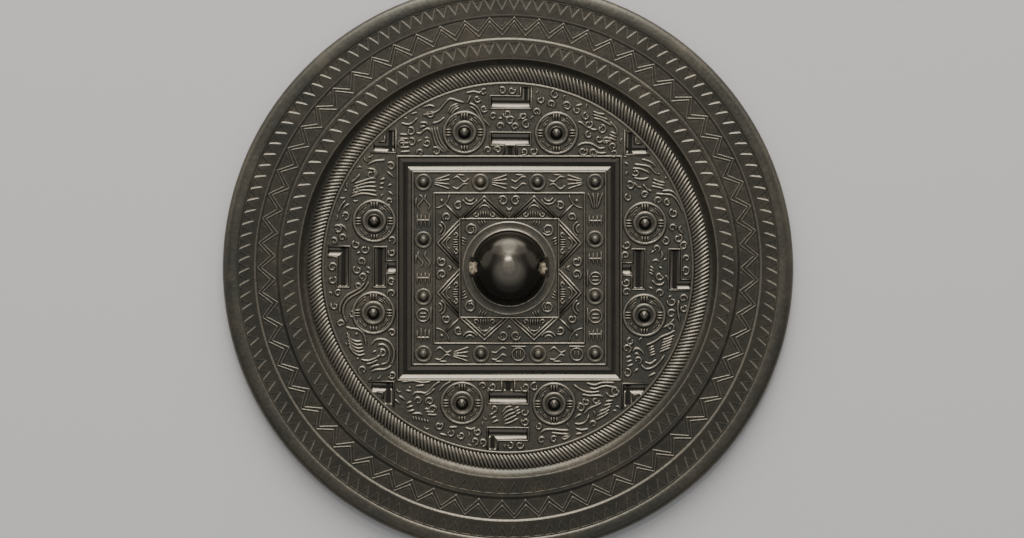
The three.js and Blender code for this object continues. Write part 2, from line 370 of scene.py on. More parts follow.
def ridge(
    path, width=0.95, height=0.5, closed=False, run_out=0.0, floor=ground, worn=1.0, skirt=0.0, eased=True
):
    """A raised line with a rounded section along a path, mitred at its corners."""
    path = np.asarray([tuple(p)[:2] for p in path], dtype=float)
    if run_out and not closed:
        run = np.concatenate([[0], np.cumsum(np.linalg.norm(np.diff(path, axis=0), axis=1))])
        ends = np.array([0.3 * run_out, run_out] if run_out > 0.3 else [run_out])
        inner = run[(run > run_out + 0.25) & (run < run[-1] - run_out - 0.25)]
        stations = np.concatenate([[0, run[-1]], inner, ends, run[-1] - ends])
        stations = np.unique(stations.clip(0, run[-1]).round(3))
        path = np.stack([np.interp(stations, run, path[:, axis]) for axis in (0, 1)], axis=1)
    elif eased:
        path = ease_corners(path, closed, 0.6 * width)
    before, after = np.roll(path, 1, axis=0), np.roll(path, -1, axis=0)
    if not closed:
        before[0], after[-1] = 2 * path[0] - path[1], 2 * path[-1] - path[-2]
    into, out = path - before, after - path
    into /= np.linalg.norm(into, axis=1)[:, None] + 1e-9
    out /= np.linalg.norm(out, axis=1)[:, None] + 1e-9
    aside = np.stack([-(into + out)[:, 1], (into + out)[:, 0]], axis=1)
    aside /= np.linalg.norm(aside, axis=1)[:, None] + 1e-9
    squeeze = np.abs((aside * np.stack([-out[:, 1], out[:, 0]], axis=1)).sum(axis=1))
    aside /= np.clip(squeeze, 0.45, 1)[:, None]
    size = np.ones(len(path))
    if run_out and not closed:
        run = np.concatenate([[0], np.cumsum(np.linalg.norm(np.diff(path, axis=0), axis=1))])
        left = np.minimum(run, run[-1] - run)
        size = np.sqrt(np.clip(left / run_out, 0.12, 1))
    first = len(lines["points"])
    # The section's two outer points take the skirt value as wear. At its default of 0 the ground beside
    # each line turns dark, as dirt and as painted shade.
    half = [(1.5, -0.06, skirt), (0.95, 0.12, skirt), (0.44, 0.78, 0.85)]
    section = [(-offset, lift, wear_and_shade) for offset, lift, wear_and_shade in half] + [(0, 1, 1)] + half[::-1]
    for spot, across, scale in zip(path, aside, size):
        for offset, lift, wear_and_shade in section:
            place = spot + across * (offset * scale * width / 2)
            rise = 0.78 * lift * height * scale if lift > 0 else lift
            lines["points"].append((place[0], place[1], floor + rise))
            lines["wear_and_shade"].append(wear_and_shade * worn)
    count = len(path)
    for i in range(count if closed else count - 1):
        a, b = first + 7 * i, first + 7 * ((i + 1) % count)
        for k in range(7):
            j = (k + 1) % 7
            lines["faces"].append((a + j, a + k, b + k, b + j))
    if not closed:
        last = first + 7 * (count - 1)
        lines["faces"].append(tuple(first + k for k in range(7)))
        lines["faces"].append(tuple(last + 6 - k for k in range(7)))


def smooth(points, step=0.85):
    """A flowing path through a few points."""
    points = np.asarray(points, dtype=float)
    if len(points) == 2:
        return points
    padded = np.vstack([2 * points[0] - points[1], points, 2 * points[-1] - points[-2]])
    path = []
    for a, b, c, d in zip(padded, padded[1:], padded[2:], padded[3:]):
        count = max(2, int(np.linalg.norm(c - b) / step))
        for t in np.arange(count) / count:
            bend = (2 * a - 5 * b + 4 * c - d) * t * t
            path.append(0.5 * (2 * b + (c - a) * t + bend + (3 * b - a - 3 * c + d) * t**3))
    path.append(points[-1])
    return np.array(path)


def stroke(*points, width=0.95, height=0.55):
    ridge(smooth(points), width, height, run_out=0.7)


def about(x, y, radius, angles):
    return np.stack([x + radius * np.cos(angles), y + radius * np.sin(angles)], axis=1)


def ring(x, y, radius, width=0.95, height=0.5, steps=36):
    angles = np.arange(steps) * 2 * math.pi / steps
    ridge(about(x, y, radius, angles), width, height, closed=True)


def arc(x, y, radius, start, end, width=0.85, height=0.5, steps=9):
    angles = np.radians(np.linspace(start, end, steps))
    ridge(about(x, y, radius, angles), width, height, run_out=0.4)


def curl(x, y, size=1.4, start=200, turn=1, turns=1.0):
    """A hooked curl that winds in to a full round end."""
    share = np.linspace(0, 1, 10)
    angles = math.radians(start) + turn * share * turns * 2 * math.pi
    radius = size * (1 - 0.55 * share**1.6)
    path = about(x, y, radius, angles)
    ridge(path, 0.88, 0.55, run_out=0.5)
    dot(*path[-1], size=0.5)


def dot(x, y, size=0.55):
    """A small round bead."""
    first = len(lines["points"])
    height = 0.52
    # The bead's outer ring has wear 0, which darkens its foot as dirt and as painted shade.
    for radius, rise, wear_and_shade in ((1.0, -0.15, 0.0), (0.72, 0.7, 0.7)):
        for i in range(8):
            angle = i * math.pi / 4
            across, up = size * radius * math.cos(angle), size * radius * math.sin(angle)
            lines["points"].append((x + across, y + up, ground + height * rise))
            lines["wear_and_shade"].append(wear_and_shade)
    lines["points"].append((x, y, ground + height))
    lines["wear_and_shade"].append(1.0)
    for i in range(8):
        j = (i + 1) % 8
        lines["faces"].append((first + i, first + j, first + 8 + j, first + 8 + i))
        lines["faces"].append((first + 8 + i, first + 8 + j, first + 16))
    lines["faces"].append(tuple(first + 7 - i for i in range(8)))


def feathers(first, last, count):
    """Strokes side by side, from one path across to another of as many points."""
    for i in range(count):
        share = i / (count - 1)
        stroke(*(Vector(a).lerp(Vector(b), share) for a, b in zip(first, last)))


def finish_lines(name):
    """Turns the lines drawn so far into one shell of the casting."""
    piece = new_piece(name, lines["points"], lines["faces"], lines["wear_and_shade"])
    edit(piece)
    bpy.ops.mesh.normals_make_consistent(inside=False)
    bpy.ops.mesh.faces_shade_smooth()
    bpy.ops.object.mode_set(mode="OBJECT")
    for held in lines.values():
        held.clear()


# ---- Rim bands -----------------------------------
# Two bands of sawteeth with a double zigzag between them. Each gap between two teeth is a sunk
# triangle with sloping walls, stepped round the rim with dividers.


def saw_band(name, count, inner, apex, base, outer, phase):
    """One sunk triangle in its share of the band, copied round and welded into a closed ring."""
    half = math.pi / count
    corner = 0.93
    wall = 0.52
    base_wall = 0.2
    edge = 0.1
    floor = band - 0.26

    def at(radius, share, height):
        angle = share * half + phase
        return (radius * math.cos(angle), radius * math.sin(angle), height)

    lean = math.atan2(corner * base * half, base - apex)
    floor_corner = corner - (base_wall * math.tan(lean) + wall / math.cos(lean)) / (base * half)
    edge_corner = corner + edge / (base * half)
    floor_apex = apex + wall / math.sin(lean)
    points = [
        at(inner, -1, band), at(inner, 0, band), at(inner, 1, band),
        at(apex, -1, band), at(apex - edge, 0, band), at(apex, 1, band),
        at(base, -1, band), at(base + edge, -edge_corner, band), at(base + edge, edge_corner, band),
        at(base, 1, band),
        at(outer, -1, band), at(outer, -corner, band), at(outer, corner, band), at(outer, 1, band),
        at(apex + edge, 0, band), at(base, -corner, band), at(base, corner, band),
        at(floor_apex, 0, floor),
        at(base - base_wall, -floor_corner, floor),
        at(base - base_wall, floor_corner, floor),
    ]
    faces = [
        (0, 3, 4, 1), (1, 4, 5, 2), (3, 6, 7, 4), (4, 8, 9, 5),
        (6, 10, 11, 7), (7, 11, 12, 8), (8, 12, 13, 9),
        (4, 7, 15, 14), (7, 8, 16, 15), (8, 4, 14, 16),
        (14, 15, 18, 17), (15, 16, 19, 18), (16, 14, 17, 19), (17, 18, 19),
    ]
    worn = [0.1] * 14 + [0.85] * 3 + [0.12] * 3
    all_points, all_faces, all_wear = [], [], []
    for step in range(count):
        spin = Matrix.Rotation(step * 2 * half, 3, "Z")
        first = len(all_points)
        all_points += [spin @ Vector(p) for p in points]
        all_faces += [tuple(first + i for i in face) for face in faces]
        all_wear += worn
    piece = new_piece(name, all_points, all_faces, all_wear)
    edit(piece)
    bpy.ops.mesh.remove_doubles(threshold=0.002)
    bpy.ops.mesh.select_all(action="DESELECT")
    bpy.ops.mesh.select_mode(type="EDGE")
    bpy.ops.mesh.select_non_manifold()
    bpy.ops.mesh.extrude_region_move(TRANSFORM_OT_translate={"value": (0, 0, -0.9)})
    bpy.ops.mesh.bridge_edge_loops()
    bpy.ops.mesh.select_mode(type="VERT")
    bpy.ops.mesh.select_all(action="SELECT")
    bpy.ops.mesh.normals_make_consistent(inside=False)
    bpy.ops.object.mode_set(mode="OBJECT")
    smooth_below(12)


saw_band("outer_saw", 138, 82.6, 83.9, 87.6, 88.1, 0.0)
saw_band("inner_saw", 110, 68.95, 69.6, 73.4, 74.0, 0.0)

zigzag_count = 63
zigzag_step = math.pi / zigzag_count
for valley, peak in ((75.75, 80.3), (77.45, 81.55)):
    path = []
    for i in range(2 * zigzag_count):
        radius = peak if i % 2 else valley
        path.append((radius * math.cos(i * zigzag_step), radius * math.sin(i * zigzag_step)))
    ridge(path, 0.6, 0.26, closed=True, floor=band_floor, worn=0.7)
for i in range(2 * zigzag_count):
    # a faint outline in each panel between the zigzag and the edge of its band
    tip, base = (79.2, 75.9) if i % 2 else (78.6, 81.3)
    path = []
    for radius, share in ((tip, 0.0), (base, -0.62), (base, 0.62)):
        angle = (i + share) * zigzag_step
        path.append((radius * math.cos(angle), radius * math.sin(angle)))
    ridge(path, 0.34, 0.05, closed=True, floor=band_floor, worn=0.25, eased=False)
finish_lines("zigzag")

comb_count = 315
comb_foot, comb_reach = 60.85, 4.9
comb_lean = 2.85 / 63  # a stroke's turn about the centre on its way outwards
for i in range(comb_count):
    angle = i * 2 * math.pi / comb_count
    path = []
    for share in (0, 1):
        radius = comb_foot + comb_reach * share
        turned_by = angle + share * comb_lean
        path.append((radius * math.cos(turned_by), radius * math.sin(turned_by)))
    ridge(path, 0.95, 0.46, run_out=0.15, skirt=0.2)
finish_lines("comb")


# ---- Knob ----------------------------------------
# A low dome cast with the disc, on a collar and a smooth flat ring. A cord ran through its arched
# hole, and hands and cloth have polished it.

knob_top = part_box("knob")[1].z * to_mm
flat_ring = ground + 0.4
collar = ground + 0.85
# Wear 0 where the dome meets its collar darkens that crease as dirt and as painted shade.
knob_profile = [
    (0.0, 2.3, 0.0), (15.4, 2.3, 0.0), (15.4, ground + 0.1, 0.2), (15.3, ground + 0.3, 1.0),
    (15.0, flat_ring + 0.06, 1.0), (14.7, flat_ring, 0.3), (13.3, flat_ring - 0.02, 0.25),
    (12.95, flat_ring + 0.06, 0.3), (12.75, collar - 0.2, 0.9), (12.5, collar - 0.02, 0.9),
    (12.2, collar, 0.4), (11.95, collar - 0.06, 0.0),
]
dome_radius = 11.85
dome_steps = 20
worn_top = 2.7  # radius of the worn spot on the crown
rub_and_highlight_reach = 3.6  # from its edge to where the paler ring of rubbing and painted highlight ends
# Wear rises from the collar towards the worn spot: a paler ring on the crown that is partly rubbing and
# partly a painted highlight.
for i in range(1, dome_steps + 1):
    angle = i / dome_steps * math.pi / 2
    radius = dome_radius * math.cos(angle)
    if radius > worn_top + 0.3:
        crown_rub_and_highlight = max(0.0, 1 - (radius - worn_top) / rub_and_highlight_reach)
        height = collar + (knob_top - collar) * math.sin(angle)
        knob_profile.append((radius, height, 0.3 + 0.6 * crown_rub_and_highlight))
knob_profile += [
    (worn_top + 0.2, knob_top - 0.22, 0.85), (worn_top - 0.4, knob_top - 0.15, 0.6),
    (1.4, knob_top - 0.05, 0.75), (0.0, knob_top, 0.8),
]
knob = turn("knob", knob_profile, 96, at=pattern)
collar_radius = 12.3
from_middle = [(v.co.xy - pattern).length for v in knob.data.vertices]
set_point_values(knob, [float(worn_top < radius < collar_radius) for radius in from_middle], "polish")

hole_half = 3.1
hole_high = 5.7
hole_shift = 0.4
springing = flat_ring + hole_high - hole_half
outline = [(-hole_half, flat_ring - 0.01), (hole_half, flat_ring - 0.01)]
for i in range(13):
    angle = i * math.pi / 12
    outline.append((hole_half * math.cos(angle), springing + hole_half * math.sin(angle)))
hole_reach = 12.9
sections = []
for x in (pattern.x - hole_reach, pattern.x + hole_reach):
    sections.append([(x, y + pattern.y + hole_shift, z) for y, z in outline])
cut_away(knob, cutter_through("cord_hole", sections))
pick(knob)
smooth_below(28)


# ---- Bosses and nipples --------------------------
# Eight bosses stand in pairs along the sides of the square: a pointed nipple in two rings, with
# short strokes and leaves between them. Twelve small nipples stand in the band inside the square.

boss_places = []
for side in range(4):
    for along in (-15.0, 15.0):
        boss_places.append(side_matrix(side) @ Vector((along, 44.15, 0)))

# Low wear in the moat round the nipple and at the boss's foot darkens them as dirt and as painted shade.
boss_profile = [
    (0.0, 2.6, 0.0), (4.3, 2.6, 0.0), (4.15, ground + 0.05, 0.0), (3.95, ground + 0.4, 0.5),
    (3.6, ground + 0.68, 0.8), (3.2, ground + 0.7, 0.7), (2.8, ground + 0.45, 0.5),
    (2.45, ground + 0.28, 0.22), (2.15, ground + 0.34, 0.22), (1.95, ground + 0.8, 0.2),
    (1.6, ground + 1.45, 0.25), (1.1, ground + 1.92, 0.45), (0.6, ground + 2.13, 0.75),
    (0.0, ground + 2.2, 0.95),
]
for number, place in enumerate(boss_places):
    boss = turn(f"boss_{number + 1}", boss_profile, 32, at=place.xy, sharp=60)
    set_point_values(boss, [float((v.co - place).xy.length < 2.0) for v in boss.data.vertices], "polish")
    ring(place.x, place.y, 6.6, width=1.15, height=0.6, steps=40)
    for quarter in range(4):
        out = Vector((math.cos(quarter * math.pi / 2), math.sin(quarter * math.pi / 2)))
        across = Vector((-out.y, out.x))
        for offset in (-0.9, 0, 0.9):
            start = place.xy + out * 4.15 + across * offset
            ridge((start, start + out * 2.2), 0.78, 0.66, run_out=0.2, skirt=0.2)
        angle = 45 + 90 * quarter
        for radius, first, last in ((5.9, -22, 14), (5.1, -16, 22), (4.6, 0, 24)):
            arc(*place.xy, radius, angle + first, angle + last, width=0.55, height=0.4, steps=6)
finish_lines("boss_rings")

small_reach = 28.0
small_pitch = 18.6
nipple_places = []
for side in range(4):
    for i in range(3):
        at = Vector((-small_reach + i * small_pitch, small_reach, 0))
        nipple_places.append(Matrix.Rotation(side * math.pi / 2, 4, "Z") @ at + pattern.to_3d())
# Low wear in the moat round each small nipple and at its foot darkens them as dirt and as painted shade.
nipple_profile = [
    (0.0, 2.6, 0.0), (3.05, 2.6, 0.0), (2.95, ground + 0.05, 0.0), (2.8, ground + 0.3, 0.5),
    (2.5, ground + 0.42, 0.7), (2.1, ground + 0.34, 0.5), (1.8, ground + 0.12, 0.1),
    (1.55, ground + 0.2, 0.1), (1.4, ground + 0.55, 0.2), (1.1, ground + 1.0, 0.3),
    (0.65, ground + 1.26, 0.5), (0.0, ground + 1.34, 0.7),
]
for number, place in enumerate(nipple_places):
    turn(f"nipple_{number + 1}", nipple_profile, 24, at=place.xy, sharp=60)


# ---- Square --------------------------------------
# Thin square lines, one within the other, frame the knob. Between them stand pairs of doubled
# gables with strokes under them, quarter circles in the corners, and small curls.


def square_line(half, height=0.5):
    corners = [(half, half), (-half, half), (-half, -half), (half, -half)]
    ridge([(pattern.x + a, pattern.y + b) for a, b in corners], 0.8, height, closed=True)


square_line(channel_out + 0.4)
square_line(channel_in - 0.4, 0.42)
square_line(24.5)
square_line(16.1)


def on_side(side, *points):
    spin = Matrix.Rotation(side * math.pi / 2, 2)
    return [tuple(spin @ Vector(p) + pattern) for p in points]


for side in range(4):
    for centre in (-8.1, 8.1):
        for inset in (0.0, 1.35):
            half = 7.75 - inset
            gable = ((centre - half, 16.2), (centre, 16 + half - 0.35), (centre + half, 16.2))
            ridge(on_side(side, *gable), 0.85)
        for offset in (-1.2, -0.4, 0.4, 1.2):
            ridge(on_side(side, (centre + offset, 16.5), (centre + offset, 18.6)), 0.62, run_out=0.3)
        x, y = on_side(side, (centre, 18.5))[0]
        arc(x, y, 2.0, 90 * side + 15, 90 * side + 165, width=0.8)
        for hand in (-1, 1):
            x, y = on_side(side, (centre + hand * 2.75, 17.5))[0]
            curl(x, y, 0.85, 90 * side + 90 + 60 * hand, hand, 0.8)
    for hand in (-1, 1):
        x, y = on_side(side, (hand * 2.1, 22.0))[0]
        curl(x, y, 1.55, 90 * side + 90 - 80 * hand, hand, 1.1)
        x, y = on_side(side, (hand * 16.6, 20.4))[0]
        curl(x, y, 1.35, 90 * side + 90 + 60 * hand, -hand, 1.0)
        x, y = on_side(side, (hand * 12.8, 23.3))[0]
        arc(x, y, 1.4, 90 * side + 190, 90 * side + 350)
        arc(x, y, 2.5, 90 * side + 200, 90 * side + 340)
    stroke(*on_side(side, (-0.9, 19.9), (0, 18.9), (0.9, 19.9)))
    dot(*on_side(side, (0, 18.0))[0], size=0.4)
    corner = on_side(side, (24.2, 24.2))[0]
    arc(*corner, 4.6, 90 * side + 182, 90 * side + 268, width=0.7, steps=12)
    dot(*on_side(side, (22.0, 22.0))[0], size=0.75)
    ridge(on_side(side, (20.8, 20.8), (16.4, 16.4)), 0.85)
    x, y = on_side(side, (12.6, 12.5))[0]
    curl(x, y, 1.9, 90 * side + 210, 1, 1.25)
    for offset in (0, 0.9, 1.8):
        inner, outer = (14.3 - offset * 0.4, 7.4 + offset), (15.6, 8.3 + offset)
        ridge(on_side(side, inner, outer), 0.6, run_out=0.3)
        ridge(on_side(side, inner[::-1], outer[::-1]), 0.6, run_out=0.3)


# ---- Band of signs -------------------------------
# Between the small nipples the mould maker scratched a sign in each of twelve places. Here each
# place has its own row of shallow strokes, bars, waves, loops and fans, which say nothing.

signs = random.Random(12)


def sign_stroke(side, *path):
    stroke(*on_side(side, *path), width=0.8, height=0.5)


def sign_bars(side, x, y):
    for row in (-2.0, -0.7, 0.6, 1.9):
        half = signs.uniform(1.6, 2.6)
        sign_stroke(side, (x - half, y + row), (x + half, y + row))
    post = x + signs.uniform(-0.8, 0.8)
    sign_stroke(side, (post, y - 2.5), (post, y + 2.4))


def sign_waves(side, x, y):
    for row in (-1.4, 0.9):
        swing = signs.choice((-1, 1)) * 0.9
        path = [(x - 2.7, y + row), (x - 1.2, y + row + swing)]
        path += [(x + 1.1, y + row - swing), (x + 2.7, y + row + 0.4)]
        sign_stroke(side, *path)
    sign_stroke(side, (x - 1.4, y + 2.4), (x + 1.6, y + 2.2))


def sign_loop(side, x, y):
    centre = on_side(side, (x, y))[0]
    ring(*centre, signs.uniform(1.9, 2.2), width=0.8, steps=20)
    for offset in (-0.6, 0.6):
        stroke(*on_side(side, (x + offset, y - 1.4), (x + offset, y + 1.4)), width=0.7, height=0.5)
    sign_stroke(side, (x - 2.8, y - 2.5), (x + 2.8, y - 2.6))


def sign_fan(side, x, y):
    hand = signs.choice((-1, 1))
    for spread in (-2.4, -0.8, 0.9, 2.4):
        start, end = (x - 2.7 * hand, y + 0.25 * spread), (x + 2.7 * hand, y + spread)
        sign_stroke(side, start, (x, y + 0.6 * spread), end)


for side in range(4):
    for slot in (-18.7, 0.0, 18.6):
        forms = signs.sample((sign_bars, sign_waves, sign_loop, sign_fan), 2)
        for form, shift in zip(forms, (-3.1, 3.1)):
            form(side, slot + shift * signs.uniform(0.9, 1.1), 28.1)
finish_lines("square_lines")


# ---- Mark edges ----------------------------------
# A thin raised line runs along both sides of every T, L and V channel.


def on_field(side, *points):
    return [tuple((side_matrix(side) @ Vector((*p, 0))).xy) for p in points]


half_bar = 6.6
t_line = [(-2.1, 36.5), (-2.1, 40.0), (-half_bar, 40.0), (-half_bar, 44.3)]
t_line += [(half_bar, 44.3), (half_bar, 40.0), (2.1, 40.0), (2.1, 36.5)]
l_line = [(3.2, 59.4), (3.2, 56.2), (-half_bar - 0.1, 56.2), (-half_bar - 0.1, 52.0)]
l_line += [(half_bar + 0.1, 52.0), (half_bar + 0.1, 59.3)]
v_out = [(37.3, 45.6), (37.3, 37.3), (45.6, 37.3)]
v_in = [(40.95, 43.0), (40.95, 40.95), (43.0, 40.95)]
for side in range(4):
    for line in (t_line, l_line, v_out, v_in):
        ridge(on_field(side, *line), 0.65, 0.4, worn=0.7)
finish_lines("mark_edges")


# ---- Creatures -----------------------------------
# Birds, tigers, dragons and winged figures run round the field in fine flowing lines, and cloud
# curls fill what is left. Each panel was drawn freely, so each has its own strokes.

clouds = random.Random(31)


def cloud_curls(*places):
    """Small curls, each opening its own way."""
    for x, y in places:
        size = clouds.uniform(1.1, 1.45)
        curl(x, y, size, clouds.uniform(0, 360), clouds.choice((-1, 1)), clouds.uniform(0.75, 1.05))


# Upper side, left of the T and L: a long-tailed bird above the boss
stroke((-28, 49.8), (-24.5, 50.5), (-22.5, 51.5), (-20.5, 53.8), (-18.8, 55.2), (-16.5, 54.5), (-14, 53.8))
stroke((-13.6, 53.4), (-12.8, 54.8), (-12.2, 56.4))
feathers(((-19.8, 50.5), (-18.6, 52.6), (-16.2, 53.6)), ((-18.6, 49.8), (-17.4, 51.4), (-15.8, 52.3)), 3)
stroke((-12.8, 53.8), (-10.5, 52.8), (-9.3, 51.2), (-8.5, 49), (-7, 47.5), (-5.8, 46))
stroke((-12.5, 52.7), (-10.8, 51.7), (-9.9, 50.4), (-8.6, 48), (-7.4, 46.6))
stroke((-14, 57), (-11, 57.5), (-9.3, 57), (-8.5, 58.2))
stroke((-25, 47.1), (-22.6, 47.7), (-20.6, 49.2))
stroke((-35, 47.3), (-32, 46.8), (-29.5, 49))
stroke((-28, 52.3), (-25.5, 53), (-23.5, 52.3))
stroke((-32, 50.1), (-29.5, 50.7))
stroke((-30, 44.2), (-28.7, 43.8), (-27, 45.2), (-25.7, 45.3), (-24.8, 44))
feathers(((-29, 47.2), (-27, 47.4), (-26, 46.4)), ((-29, 45.6), (-27.6, 46.2), (-26.6, 46)), 2)
feathers(
    ((-24.9, 45.8), (-24.2, 42.6), (-23.2, 40), (-20.6, 37.4)),
    ((-23.2, 46), (-22.4, 42.8), (-21.4, 40.6), (-19.2, 38)),
    3,
)
stroke((-27.4, 42.5), (-25.6, 42.2))
feathers(((-35.6, 43.6), (-32.4, 43.4)), ((-35.4, 37.8), (-31.8, 38)), 5)
cloud_curls(
    (-7.8, 57.3), (-7.8, 51.8), (-10, 55), (-26.5, 40.7), (-28.7, 37.5), (-23.5, 38), (-6.6, 38.3),
    (-3.4, 38.5), (-31.5, 41), (-31.8, 44.5), (-34.5, 40.5), (-25.2, 50.2),
)

# Between the upper T and L, and above the L
cloud_curls(
    (-4.8, 49.4), (-0.3, 50.2), (0.7, 48), (-2.6, 46.1), (2.2, 46), (5, 49.6), (6, 46.8), (-1.9, 57.8),
    (1.3, 57.8),
)
stroke((-3.4, 48.7), (-1.6, 48.9))
stroke((2.9, 48.3), (4, 49), (4.4, 50.6))

# Upper side, right of the T and L: a beast with a striped back above a wave
cloud_curls(
    (10.6, 54.8), (14, 53.4), (19.2, 52.7), (9.3, 50.8), (15.3, 56.5), (22.5, 51.4), (24.5, 37.9),
    (27.6, 37.4), (34.4, 37.4), (5.2, 37.8), (8.3, 38.0), (25.4, 49.4), (26.3, 46.8), (26.4, 43.4),
    (30.6, 45.2), (29.8, 42), (32, 41.3), (34.2, 39.5),
)
stroke((21.8, 52.7), (23, 53), (24.5, 53.4))
feathers(
    ((27.6, 51.2), (29.5, 50.3), (32, 50.1)),
    ((27.8, 48.9), (30.6, 48.2), (34, 46.2)),
    3,
)
stroke((26.6, 45.6), (28, 45), (29.2, 45.2))
stroke((33.2, 47.8), (35.2, 45.6), (35.8, 43))
feathers(((33.2, 44.4), (35.8, 43.4)), ((32.6, 42.6), (35.6, 41.4)), 3)
stroke((31, 41.4), (34, 41.2))
stroke((22.3, 39.3), (24, 40.5), (26.5, 40.7), (28.5, 39.8), (30, 38.9), (31.8, 39.2))
stroke((28, 38.6), (29.3, 37.5), (31, 37.4), (32.2, 37.6))
stroke((22.6, 47.8), (24.2, 47.2), (25.4, 45.8))

# Right side, above the T and L
stroke((41, 33.8), (43.5, 33.5), (46, 33), (48, 31), (49, 30.5))
stroke((40.5, 32.4), (43, 32.3), (45.5, 31.3), (46.5, 30.5))
stroke((43.5, 35.5), (46.5, 34.5), (48.5, 32.8))
stroke((38, 34.5), (39.5, 33.5))
feathers(((47.3, 29), (49.5, 28), (51.5, 27.7)), ((46.6, 26.7), (48.6, 26.3), (51, 25.8)), 3)
stroke((41, 29.5), (42.5, 29), (44.5, 29), (46, 29.6))
stroke((48, 24.2), (50.5, 24), (53, 23.8), (54.8, 22.5), (56, 20.5), (57.3, 18))
stroke((50, 25.1), (53, 25.1), (54.8, 23.9), (56.6, 21))
stroke((44, 27.4), (45.4, 25.6), (47.2, 24.9))
stroke((41, 28), (42.4, 26.4), (43.8, 26.2))
stroke((56.5, 13.8), (55.8, 12.5), (57.3, 11))
dot(49.2, 30.6)
dot(51.4, 29.3)
cloud_curls(
    (39.8, 26.8), (39.3, 23), (44.6, 23.8), (49, 21.9), (52, 21.3), (54, 17.8), (53.7, 13), (55.5, 9.6),
    (51.3, 8.7), (57.3, 7.1), (38.7, 7.5), (38.3, 4), (58.2, 3), (57.8, -0.8), (41.6, 31),
)

# Between the right T and L
stroke((50, 5.4), (50.4, 4), (49.6, 2.8))
stroke((50.5, 2.3), (51.6, 3.2))
stroke((46.8, 2), (48.3, 2.6), (49.5, 1.8))
stroke((49.2, 0.4), (50.5, -0.4))
stroke((47, -4), (48.3, -5.4), (50, -5.5), (51, -4.5))
stroke((46.4, 4.6), (47.8, 5.8))
stroke((46, -6.3), (47.6, -7))
feathers(((46.2, 0.6), (48, -0.6)), ((46, -1.4), (47.6, -2.4)), 3)
cloud_curls((49.4, -2.8), (48.4, 6.2), (49.6, -8.4))

# Right side, below the T and L: a crouching bird
stroke((44.8, -25.3), (47.5, -24.2), (50, -22.5), (52.5, -21.5), (54.6, -20.3))
feathers(((50.2, -23.6), (52.6, -22.8), (54.2, -22)), ((49.2, -27.6), (51.4, -26.6), (53, -26)), 5)
feathers(((45.6, -26.4), (47.6, -25.4)), ((46, -28.8), (48.2, -28)), 4)
stroke((43.5, -31.5), (44.5, -32.8), (46, -32.9), (48, -32), (50, -30), (51, -28.4))
stroke((44.6, -30.6), (46.4, -31.3), (48.4, -29.8))
stroke((40.5, -27.5), (41.8, -26.2), (43.5, -27), (44.5, -28.5))
stroke((41, -28.4), (42, -27.9), (43, -28.9))
stroke((41, -34), (42.5, -32.8))
stroke((45.5, -35.5), (48.2, -34.2))
stroke((55.7, -10.5), (55.4, -14), (56, -17.6))
stroke((50.4, -19.6), (52.6, -18.4), (54.2, -16.6))
feathers(((38.2, -29.4), (40.2, -28.8)), ((38.6, -32.2), (41, -31.4)), 3)
cloud_curls(
    (38.5, -4.8), (38.7, -8), (53.4, -11), (57.2, -10), (57.2, -13.3), (53.3, -15), (53, -19.3),
    (42.3, -30.2), (38.8, -34.3), (40, -24), (38.8, -26.4),
)

# Left side, above the T and L: a striped tiger
stroke((-46, 33.5), (-43.5, 34.8), (-40, 35.2))
stroke((-46, 32.3), (-44, 32.2), (-42.8, 31), (-42.8, 29.4))
stroke((-39.5, 31.5), (-37, 29.4))
feathers(
    ((-51.5, 23), (-48, 24.2), (-45, 24), (-42.5, 23.5)),
    ((-50.4, 27.4), (-47.4, 28.3), (-45, 29.1), (-43, 29.2)),
    5,
)
stroke((-51.4, 27.8), (-49.8, 28.9), (-48.2, 30.6))
feathers(((-42, 28.5), (-40, 29.3)), ((-42.2, 26), (-40.5, 26.1)), 3)
stroke((-39.5, 26.7), (-37.8, 27.3))
stroke((-39, 25), (-37.2, 23.6))
stroke((-54, 19), (-53, 20.2), (-51.6, 20.9))
stroke((-55.3, 14.3), (-53.5, 13.5), (-52.5, 12))
stroke((-53, 22), (-54.4, 20.4), (-55.6, 17.8))
cloud_curls(
    (-38.3, 33.1), (-49.8, 25.2), (-53.2, 17), (-55.5, 12.6), (-54, 9.8), (-56.7, 8.7), (-49.5, 7.6),
    (-46.7, 6), (-38, 9), (-37.9, 5), (-57.2, 0.2), (-57.3, -3.9), (-38.6, 21.6), (-44.6, 30.4),
)

# Between the left T and L
cloud_curls((-47.8, 2), (-49.1, -0.6), (-47.5, -3), (-49, -6))
feathers(((-46, 0.4), (-44.6, -0.7)), ((-46.2, -1), (-45, -2)), 2)
stroke((-49.6, 4.6), (-48, 5.2))

# Left side, below the T and L: a feathered bird over a coiling dragon
stroke((-45.5, -4.5), (-46.5, -6.5), (-48.5, -8), (-51.5, -9.8), (-53.3, -12), (-53.7, -15), (-52.5, -18))
stroke((-46.8, -4.6), (-47.7, -6), (-50, -7.6), (-52.8, -9.2), (-54.6, -12), (-54.9, -15))
stroke((-53, -19.2), (-51, -19.8), (-49, -20), (-47.3, -21.3), (-46.5, -23.5), (-46.2, -25.4))
feathers(
    ((-52.6, -21), (-51.2, -23.2), (-49.2, -24), (-47.6, -23.8)),
    ((-51.8, -25.4), (-50.4, -27.6), (-48.4, -28.6), (-46.6, -28)),
    5,
)
stroke((-44.8, -25.5), (-43.5, -23.7), (-41.5, -23.2), (-39, -24), (-37.5, -26), (-37.2, -29), (-38, -31.8))
stroke((-38, -31.8), (-40, -33), (-43, -33.2), (-44.8, -33.9))
stroke((-42.8, -25.4), (-41, -24.9), (-39.3, -26), (-38.6, -28.6), (-39.4, -30.9), (-41.8, -31.6))
stroke((-41.8, -31.6), (-44, -32.1), (-45.4, -33))
